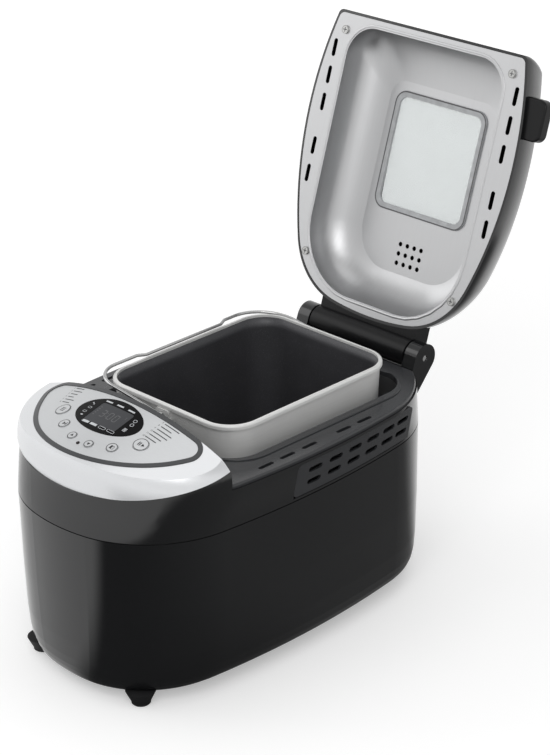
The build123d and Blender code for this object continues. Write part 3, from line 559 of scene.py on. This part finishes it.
def make_finishes(colours):
    """Makes every finish once, by the name of its material slot."""
    body = tuple(colours.body)
    deck = tuple(colours.deck)
    finishes.update(
        gloss_black=gloss_plastic("polished_black", body, 0.1, 0.6),
        hinge_black=gloss_plastic("hinge_black", (0.006, 0.006, 0.0065), 0.3, 0.2),
        print_dark=gloss_plastic("print_dark", (0.02, 0.02, 0.022), 0.4, 0.3),
        print_white=gloss_plastic("print_white", (0.62, 0.64, 0.66), 0.4, 0.3),
        print_grey=gloss_plastic("print_grey", (0.12, 0.12, 0.125), 0.4, 0.3),
        satin_black=gloss_plastic("deck_black", deck, 0.24, 0.45),
        silver_trim=silver_lacquer("silver_lacquer", tuple(colours.silver)),
        brushed_plate=brushed_metal("brushed_plate", tuple(colours.plate), (0.02, 1, 1), 0.36, 0.6, 0.06),
        dark_bezel=gloss_plastic("bezel_grey", tuple(colours.bezel), 0.3, 0.5),
        display_black=gloss_plastic("display_black", (0.003, 0.003, 0.0032), 0.2, 0.08),
        lcd_grey=grained_plastic("lcd_grey", (0.05, 0.052, 0.057), 0.35, 0.02, 0.2),
        led_red=gloss_plastic("lamp_red", (0.012, 0.004, 0.004), 0.2, 0.3),
        foot_rubber=rubber("foot_rubber", (0.013, 0.013, 0.014)),
        seal_rubber=rubber("seal_rubber", (0.5, 0.51, 0.52)),
        satin_aluminium=brushed_metal("satin_aluminium", tuple(colours.liner), (1, 0.03, 0.03), 0.4),
        clear_glass=clear_glass("clear_glass", (0.94, 0.95, 0.95)),
        zinc_screw=plain_metal("zinc_screw", (0.42, 0.42, 0.41), 0.3),
        oven_steel=plain_metal("oven_steel", (0.16, 0.16, 0.165), 0.35, 0.7),
        element_sheath=plain_metal("element_sheath", (0.1, 0.1, 0.105), 0.4),
        pan_aluminium=brushed_metal("pan_aluminium", tuple(colours.pan), (0.05, 0.05, 1), 0.42, 0.15),
        bronze_bush=plain_metal("bronze_bush", (0.46, 0.33, 0.17), 0.35),
        chrome_wire=plain_metal("chrome_wire", (0.42, 0.42, 0.42), 0.16),
        shaft_steel=plain_metal("shaft_steel", (0.55, 0.55, 0.55), 0.22),
        dark_nonstick=nonstick_coat("dark_nonstick", tuple(colours.coating)),
        driver_zinc=plain_metal("driver_zinc", (0.42, 0.42, 0.42), 0.4),
        pulley_plastic=grained_plastic("pulley_plastic", (0.45, 0.44, 0.41), 0.45),
        belt_rubber=rubber("belt_rubber", (0.015, 0.015, 0.015)),
        chassis_steel=plain_metal("chassis_steel", (0.45, 0.46, 0.47), 0.38),
        board_green=grained_plastic("board_green", (0.02, 0.11, 0.045), 0.35, 0.05),
    )


def slots_of_nodes():
    """The material slot that the record gives each node."""
    return {entry["node"]: entry["material_slot"] for entry in frame["record"]["subparts"]}


# ---------------------------------------------------------------- operators


class BREADMACHINE_OT_finishes(bpy.types.Operator):
    """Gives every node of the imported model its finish"""

    bl_idname = "breadmachine.finishes"
    bl_label = "Finishes"

    def execute(self, context):
        make_finishes(context.scene.bread_machine_colours)
        slots = slots_of_nodes()
        for name, node in frame["nodes"].items():
            finish = finishes[slots[name]]
            if not node.data.materials:
                node.data.materials.append(finish)
            for index in range(len(node.data.materials)):
                node.data.materials[index] = finish
        for name in ("hinge_block", "lid_grip"):
            frame["nodes"][name].data.materials[0] = finishes["hinge_black"]
        return {"FINISHED"}


class BREADMACHINE_OT_panel_marks(bpy.types.Operator):
    """Prints on the display, the lists beside it and the signs on the keys"""

    bl_idname = "breadmachine.panel_marks"
    bl_label = "Panel marks"

    def execute(self, context):
        self.display_signs()
        self.lists()
        self.keys()
        return {"FINISHED"}

    def mark(self, name, patches, centre, nodes, finish, slot, body="base", lift=hair):
        """Lays patches, drawn flat about a centre, on nodes as one printed piece."""
        points, faces = gather(patches)
        lay(name, dropped(points, nodes, centre, lift), faces, finish, body)

    def display_signs(self):
        """Bars and rings round the display, and in it a count and a bar scale."""
        glass = ("display_window", "lcd_screen", "control_panel")
        white = [shift(bar(8.0, 1.6), x, y) for x, y in ((-14.7, 14.6), (-1.1, 14.8), (13.0, 14.6))]
        white += [shift(bar(8.0, 2.7), x, y) for x, y in ((-14.0, -14.6), (-4.0, -14.6))]
        white += [shift(ring(4.2, 1.5, 1.4, 0.4), x, y) for x, y in ((6.6, -14.6), (16.6, -14.0))]
        white += [shift(ring(2.1, 1.2, 1.1, 0.35), *place) for place in ((-26.6, -4.3), (-26.2, 1.6))]
        white += [shift(bar(2.6, 1.3), -25.4, -9.0)]
        white += [shift(bar(1.2, 1.2), x, y) for x, y in ((-28.2, 8.0), (-26.4, 6.6))]
        white += [shift(ring(1.9, 1.9, 1.85, 0.45), *place) for place in ((25.4, 7.2), (26.4, 2.2))]
        white += [shift(bar(3.6, 0.6), 25.6, -4.0 - 1.1 * row) for row in range(4)]
        self.mark("display_signs", white, display, glass, "print_white", "display_black")
        dark = [shift(counter(number, 8.0, 0.9), x, 0.4) for number, x in ((3, -7.5), (0, 1.0), (0, 8.0))]
        dark += [shift(bar(0.9, 0.9), -3.2, y) for y in (-1.6, 2.2)]
        dark += [shift(bar(1.6, 1.0), -16.0, 6.5 - 2.6 * row) for row in range(5)]
        dark += [shift(counter(1, 3.4, 0.5), 15.0, 5.4)]
        self.mark("display_count", dark, display, glass, "print_grey", "lcd_grey", lift=0.08)

    def lists(self):
        """Two columns of numbered bars of uneven length, one on each side of the display."""
        rows, pitch, top = 6, 4.1, 20.5
        height, drop, indent, line = 1.9, 0.9, 3.2, 0.9
        patches = []
        rng = np.random.default_rng(7)
        for row in range(rows):
            y = top - row * pitch
            columns = ((1, -68.0 + 0.8 * row, 12.0), (1 + rows, 45.0 - 0.6 * row, 18.0))
            for first, x, length in columns:
                text, faces = digits(str(first + row), height)
                patches.append((text + (x, y - drop), faces))
                width = length * rng.uniform(0.6, 1.0)
                patches.append(shift(bar(width, line), x + indent + width / 2, y))
        self.mark("programme_lists", patches, display, ("control_panel",), "print_dark", "brushed_plate")

    def keys(self):
        """A rim and a generic sign on each key."""
        inset, line = 0.15, 0.6
        signs = {
            "start": [shift(bar(4.4, 0.8), 0, y) for y in (-1.8, 0, 1.8)],
            "menu": [arrow(2.2), shift(bar(0.8, 3.8), 2.6, 0)],
            "up": [shift(arrow(1.9), 0, 0, math.pi / 2)],
            "down": [shift(arrow(1.9), 0, 0, -math.pi / 2)],
            "colour": [ring(2.0, 2.0, 0.4, 0.4), shift(bar(2.0, 4.0), -1.0, 0)],
            "stop": [shift(bar(0.9, 4.2), -2.2, 0), shift(bar(0.9, 4.2), -0.6, 0), shift(arrow(2.0), 2.2, 0)],
        }
        for key, patches in signs.items():
            low, high = corners(f"key_{key}")
            radius = (high.x - low.x) / 2 / MM
            rim = ring(radius - inset, radius - inset, radius - inset - hair, line)
            top = Vector(((low.x + high.x) / 2, low.y + radius * MM * math.cos(panel_slope), high.z))
            self.mark(
                f"sign_{key}", [rim] + patches, top, (f"key_{key}",), "print_dark", "brushed_plate",
                f"{key}_key",
            )


class BREADMACHINE_OT_pan_lining(bpy.types.Operator):
    """Dark nonstick lining: rounded outlines down the leaning wall and round into the floor"""

    bl_idname = "breadmachine.pan_lining"
    bl_label = "Pan lining"

    def execute(self, context):
        low, high = corners("bread_pan")
        roll = 2.0  # of the rim, outwards and upwards from the wall
        gap = 1.75  # from the outside of the wall to the lining
        fillet = 5.5  # where the wall turns into the floor
        lean = 7.0  # of the wall inwards, from rim to floor
        corner = 27.0
        top_half = np.array([(high.x - low.x) / 2 / MM - roll, (high.y - low.y) / 2 / MM - roll])
        top = high.z / MM - roll
        floor = low.z / MM + gap
        taper = lean / (top - low.z / MM)
        levels = [(z, 0.0) for z in np.linspace(top, floor + fillet, 14)]
        levels += [
            (floor + fillet - fillet * math.sin(turn), fillet * (1 - math.cos(turn)))
            for turn in np.linspace(0, math.pi / 2, 7)[1:]
        ]
        rows = []
        for z, inset in levels:
            half = top_half - (top - z) * taper - gap - inset
            outline = rounded(*half, corner - inset, 12)
            rows.append(np.column_stack([outline, np.full(len(outline), z)]))
        for share in (0.6, 0.2):
            rows.append(rows[-1] * (share, share, 1))
        points = np.concatenate(rows) * MM + (across, oven_y, 0)
        faces = grid_faces(len(rows), len(rows[0]), wrap_columns=True)
        lay("pan_lining", points, faces[:, ::-1], "dark_nonstick", "pan", wall=0.1 * MM)
        return {"FINISHED"}


class BREADMACHINE_OT_lid_lines(bpy.types.Operator):
    """Pressed bead round the liner's dome, dark line round the window's seal, frame behind its pane"""

    bl_idname = "breadmachine.lid_lines"
    bl_label = "Lid lines"

    def execute(self, context):
        self.bead()
        self.seal_line()
        self.frame_skin()
        return {"FINISHED"}

    def frame_skin(self):
        """Merged copy of the window's frame, let in a little so that the pane over it stays clear."""
        sunk = 0.4
        mesh = frame["nodes"]["window_frame"].data
        points = np.array([vertex.co[:] for vertex in mesh.vertices])
        _, kept, index = np.unique(points.round(6), axis=0, return_index=True, return_inverse=True)
        faces = [[int(index.reshape(-1)[i]) for i in polygon.vertices] for polygon in mesh.polygons]
        faces = [face for face in faces if len(set(face)) == 3]
        places = points[kept] + lid_axes()[0] * sunk * MM
        lay("frame_skin", places, faces, "satin_black", "lid", replaced=("window_frame",), sharp=30)

    def on_lid(self, flat, height):
        """Places on the lid: across it, along it towards the hinge, and out from its flange by a height."""
        flange = 2.7  # of the liner, out from the pin's axis
        pin_y = 188.0  # of the pin, on the liner's own length
        out, along = lid_axes()
        pin = middle("hinge_pin")
        start = np.array([across, pin.y, pin.z]) + out * flange * MM
        height = np.broadcast_to(height, len(flat))[:, None]
        return start + flat[:, :1] * MM * (1, 0, 0) + (pin_y - flat[:, 1:]) * MM * along + out * height * MM

    def bead(self):
        """Half-round profile carried along the dome's outline: width is the cosine, height is the sine."""
        half_width, front_y, rear_y = 94.0, -88.0, 159.0
        front_half, front_corner = 60.0, 30.0
        rear_half, rear_corner = 123.5, 65.0
        away, bead_half, bead_height = 2.4, 1.3, 0.7
        rows = []
        for angle in np.linspace(0, np.pi, 9):
            grow = away + bead_half * math.cos(angle)
            front = rounded(half_width + grow, front_half, front_corner + grow)
            rear = rounded(half_width + grow, rear_half + grow, rear_corner + grow)
            side = len(front) // 2
            front = front[side:] + (0, front_y - grow + front_half)
            rear = rear[:side] + (0, rear_y - rear_half)
            rows.append(self.on_lid(np.concatenate([rear, front]), bead_height * math.sin(angle) - hair))
        faces = grid_faces(len(rows), len(rows[0]), wrap_columns=True)
        lay("dome_bead", np.concatenate(rows), faces, "satin_aluminium", "lid")

    def seal_line(self):
        """Flat line round the window's gasket, just off the floor of the dome."""
        half_width, half_length, corner, line = 55.5, 56.0, 12.0, 1.3
        window_y, dome_depth, lift = 18.5, 38.5, 0.06
        points, faces = ring(half_width, half_length, corner, line)
        places = self.on_lid(points + (0, window_y), lift - dome_depth)
        lay("seal_line", places, faces, "print_grey", "lid")


class BREADMACHINE_OT_screw_recess_shade(bpy.types.Operator):
    """Painted shade: flat grey crosses where the recesses in the heads of the liner's screws are, and a grey
    ring round each head's edge
    """

    bl_idname = "breadmachine.screw_recesses"
    bl_label = "Screw recess shade"

    def execute(self, context):
        # the crosses and rings are painted shade of the recesses and of each head's edge, laid a hair off the
        # heads
        length, width, head_radius, edge = 4.4, 0.9, 3.7, 0.3
        rim = ring(head_radius, head_radius, head_radius - hair, edge)
        flat, faces = gather([bar(length, width), bar(width, length), rim])
        out, up = lid_axes()
        patches = []
        for number in range(1, 5):
            mesh = frame["nodes"][f"lid_screw_{number}"].data
            points = np.array([vertex.co[:] for vertex in mesh.vertices])
            height = points @ out
            head = points[height > height.max() - hair * MM].mean(axis=0) + out * hair * MM
            places = head + flat[:, :1] * MM * (1, 0, 0) + flat[:, 1:] * MM * up
            patches.append((places, faces))
        points, faces = gather(patches)
        lay("screw_recesses", points, faces, "print_grey", "lid")
        return {"FINISHED"}


class BREADMACHINE_OT_stage(bpy.types.Operator):
    """Floor, soft light, white surroundings and camera"""

    bl_idname = "breadmachine.stage"
    bl_label = "Stage"

    def execute(self, context):
        scene = context.scene
        stage = scene.bread_machine_stage
        scene.view_settings.view_transform = "Standard"
        self.floor()
        self.surroundings(scene, stage.daylight)
        aim = Vector(stage.aim)
        lamps = (
            ("key_light", (1.3, -1.6, 1.9), 1.6, 19.0),
            ("fill_light", (-2.0, -1.0, 1.2), 1.8, 11.0),
            ("top_light", (-0.2, 0.4, 2.4), 2.0, 11.0),
        )
        for name, away, size, power in lamps:
            self.lamp(name, aim + Vector(away), aim, size, power)
        self.camera(scene, stage)
        return {"FINISHED"}

    def floor(self):
        """Pale floor with a glow that grows with distance; painted reflection: in gloss, the part before the
        body shows near black, to darken the reflections in the polished pieces.
        """
        half = 30.0
        pale, paler = (0.8, 0.8, 0.8), (0.82, 0.82, 0.82)
        near_glow, far_glow, glow_reach = 0.38, 0.3, (0.5, 3.0)
        starts, dims, ends = (-0.12, 0.06), (0.2, 1.6), (2.6, 3.1)  # turns from the control end
        full, loss, edge, dark_reflection_strength = 0.95, 0.16, (0.62, 0.76), 0.03
        corners_of_floor = [(-half, -half, 0), (half, -half, 0), (half, half, 0), (-half, half, 0)]
        mesh = bpy.data.meshes.new("floor")
        mesh.from_pydata(corners_of_floor, [], [(0, 1, 2, 3)])
        floor = bpy.data.objects.new("floor", mesh)
        bpy.context.scene.collection.objects.link(floor)
        made, g = material("pale_floor")
        seen, glossy = g.rays()
        paint = g.node("ShaderNodeBsdfDiffuse", {}, {"Color": g.blend(g.noise(3.0), pale, paler)})
        x, y, _ = g.axes()
        turn = g.node("ShaderNodeMath", {"operation": "ARCTAN2"}, {0: x, 1: y * -1.0})
        far = (x ** 2.0 + y ** 2.0) ** 0.5
        # painted reflection: glossy rays see a sector of the floor near the body as near black, fading out
        # with distance
        front = g.between(turn, *starts) * (full - g.between(turn, *dims) * loss)
        front = front * (1.0 - g.between(far, *edge))
        painted_reflection_mask = glossy * front * (1.0 - g.between(turn, *ends))
        strength = seen * (g.between(far, *glow_reach) * far_glow + near_glow)
        glow = g.node("ShaderNodeEmission", {}, {"Color": (1, 1, 1, 1), "Strength": strength})
        both = g.node("ShaderNodeAddShader", {}, {0: paint, 1: glow})
        # near-black emission that glossy rays see in that sector: the painted dark reflection
        dark = g.node("ShaderNodeEmission", {}, {"Color": (1, 1, 1, 1), "Strength": dark_reflection_strength})
        mixed = g.node("ShaderNodeMixShader", {}, {0: painted_reflection_mask, 1: both, 2: dark})
        g.node("ShaderNodeOutputMaterial", {}, {"Surface": mixed})
        mesh.materials.append(made)

    def surroundings(self, scene, daylight):
        """White where it is seen, softer as a light, and dimmer overhead in gloss."""
        overhead, loss = (0.62, 0.88), 0.5
        world = bpy.data.worlds.new("studio")
        world.use_nodes = True
        scene.world = world
        g = Graph(world.node_tree)
        seen, glossy = g.rays()
        height = g.axes("Generated")[2]
        high_sky = glossy * g.between(height, *overhead) * loss
        strength = (seen * (1.0 - daylight) + daylight) * (1.0 - high_sky)
        light = g.node("ShaderNodeBackground", {}, {"Color": (1, 1, 1, 1), "Strength": strength})
        g.node("ShaderNodeOutputWorld", {}, {"Surface": light})

    def lamp(self, name, place, aim, size, power):
        """Square lamp at a place, turned to the aim."""
        data = bpy.data.lights.new(name, "AREA")
        data.size = size
        data.energy = power
        lamp = bpy.data.objects.new(name, data)
        lamp.location = place
        lamp.rotation_euler = (aim - place).to_track_quat("-Z", "Y").to_euler()
        bpy.context.scene.collection.objects.link(lamp)

    def camera(self, scene, stage):
        """Camera whose own axes are built from the direction back from the aim."""
        flat = math.cos(stage.elevation)
        back = Vector(
            (flat * math.sin(stage.azimuth), -flat * math.cos(stage.azimuth), math.sin(stage.elevation))
        )
        level = Vector((0, 0, 1)).cross(back).normalized()
        up = back.cross(level)
        right = level * math.cos(stage.roll) + up * math.sin(stage.roll)
        top = up * math.cos(stage.roll) - level * math.sin(stage.roll)
        data = bpy.data.cameras.new("camera")
        data.sensor_fit = "HORIZONTAL"
        data.sensor_width = 36.0
        data.lens = stage.lens
        data.clip_end = 100.0
        camera = bpy.data.objects.new("camera", data)
        turn = Matrix((right, top, back)).transposed().to_4x4()
        camera.matrix_world = Matrix.Translation(Vector(stage.aim) + back * stage.distance) @ turn
        scene.collection.objects.link(camera)
        scene.camera = camera


OPERATORS = (
    BREADMACHINE_OT_finishes,
    BREADMACHINE_OT_panel_marks,
    BREADMACHINE_OT_pan_lining,
    BREADMACHINE_OT_lid_lines,
    BREADMACHINE_OT_screw_recess_shade,
    BREADMACHINE_OT_stage,
)


class BREADMACHINE_PT_sidebar(bpy.types.Panel):
    """Lists the sizes, the colours and the makers of the pieces"""

    bl_idname = "BREADMACHINE_PT_sidebar"
    bl_label = "Bread machine"
    bl_space_type = "VIEW_3D"
    bl_region_type = "UI"
    bl_category = "Bread machine"

    def draw(self, context):
        for group in (context.scene.bread_machine_colours, context.scene.bread_machine_stage):
            for name in group.__annotations__:
                self.layout.prop(group, name)
        for operator in OPERATORS:
            self.layout.operator(operator.bl_idname)


CLASSES = (BreadMachineColours, BreadMachineStage, *OPERATORS, BREADMACHINE_PT_sidebar)


def register():
    for each in CLASSES:
        bpy.utils.register_class(each)
    bpy.types.Scene.bread_machine_colours = bpy.props.PointerProperty(type=BreadMachineColours)
    bpy.types.Scene.bread_machine_stage = bpy.props.PointerProperty(type=BreadMachineStage)


def unregister():
    del bpy.types.Scene.bread_machine_stage
    del bpy.types.Scene.bread_machine_colours
    for each in reversed(CLASSES):
        bpy.utils.unregister_class(each)


def main():
    """Builds everything in order."""
    register()
    for operator in OPERATORS:
        name = operator.bl_idname.split(".")[1]
        getattr(bpy.ops.breadmachine, name)()


if __name__ == "__main__":
    main()
